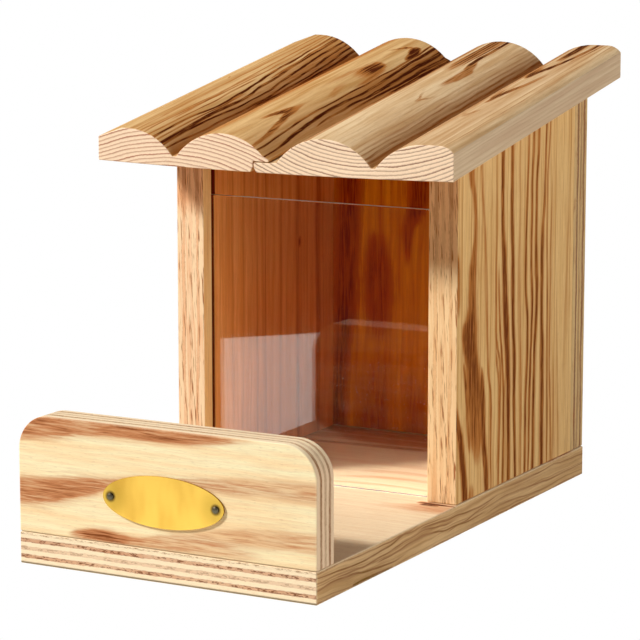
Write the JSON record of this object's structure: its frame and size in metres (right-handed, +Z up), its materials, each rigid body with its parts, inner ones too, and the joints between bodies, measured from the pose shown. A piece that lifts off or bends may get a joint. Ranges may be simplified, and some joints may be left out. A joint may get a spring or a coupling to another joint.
{
  "type": "squirrel feeder box",
  "caption": "Wooden squirrel feeder box on a long base with a front plate, a sliding clear window and a waved roof that lifts on hinges at the back.",
  "frame": {"origin": "middle of the base board's underside", "axes": "+Z up, -Y towards the front plate, +X to the right of someone who faces the front plate"},
  "size_m": [0.1838, 0.2886, 0.2173],
  "materials": {
    "base_plywood": "clear oiled plywood, plies showing on the edges",
    "front_plywood": "flamed plywood, clear oiled",
    "left_wall_plywood": "clear oiled plywood with upright grain",
    "right_wall_plywood": "clear oiled plywood with dark upright grain",
    "back_plywood": "flamed plywood, clear oiled",
    "left_roof_pine": "machined pine with dark grain",
    "right_roof_pine": "machined pine with pale grain",
    "batten_pine": "planed pine",
    "pane_acrylic": "clear acrylic with a little dust",
    "oval_brass": "brushed brass, bare",
    "hinge_brass": "stamped brass",
    "pin_steel": "plain steel",
    "screw_steel": "zinc plated steel"
  },
  "bodies": {
    "box": {"base_board": "base_plywood", "front_plate": "front_plywood", "oval_plate": "oval_brass", "oval_plate_left_pin": "pin_steel", "oval_plate_right_pin": "pin_steel", "left_wall": "left_wall_plywood", "right_wall": "right_wall_plywood", "back_panel": "back_plywood", "left_wall_front_screw": "screw_steel", "left_wall_rear_screw": "screw_steel", "left_back_foot_screw": "screw_steel", "left_front_plate_screw": "screw_steel", "right_wall_front_screw": "screw_steel", "right_wall_rear_screw": "screw_steel", "right_back_foot_screw": "screw_steel", "right_front_plate_screw": "screw_steel", "left_back_lower_screw": "screw_steel", "left_back_upper_screw": "screw_steel", "right_back_lower_screw": "screw_steel", "right_back_upper_screw": "screw_steel", "left_hinge_lower_left_screw": "screw_steel", "left_hinge_lower_right_screw": "screw_steel", "right_hinge_lower_left_screw": "screw_steel", "right_hinge_lower_right_screw": "screw_steel", "left_hinge_lower_leaf": "hinge_brass", "left_hinge_pin": "pin_steel", "right_hinge_lower_leaf": "hinge_brass", "right_hinge_pin": "pin_steel"},
    "pane": {"window_pane": "pane_acrylic"},
    "lid": {"left_roof_board": "left_roof_pine", "right_roof_board": "right_roof_pine", "front_batten": "batten_pine", "rear_batten": "batten_pine", "front_batten_left_board_left_screw": "screw_steel", "front_batten_left_board_right_screw": "screw_steel", "front_batten_right_board_left_screw": "screw_steel", "front_batten_right_board_right_screw": "screw_steel", "rear_batten_left_board_left_screw": "screw_steel", "rear_batten_left_board_right_screw": "screw_steel", "rear_batten_right_board_left_screw": "screw_steel", "rear_batten_right_board_right_screw": "screw_steel", "left_hinge_upper_left_screw": "screw_steel", "left_hinge_upper_right_screw": "screw_steel", "right_hinge_upper_left_screw": "screw_steel", "right_hinge_upper_right_screw": "screw_steel", "left_hinge_upper_leaf": "hinge_brass", "right_hinge_upper_leaf": "hinge_brass"}
  },
  "joints": [
    {"name": "lid_hinge", "type": "hinge", "parent": "box", "child": "lid", "pos_m": [0, 0.1434, 0.20014], "axis": [-1, 0, 0], "range_deg": [0, 110]},
    {"name": "pane_slide", "type": "slide", "parent": "box", "child": "pane", "axis": [0, 0, 1], "range_m": [0, 0.025]}
  ]
}
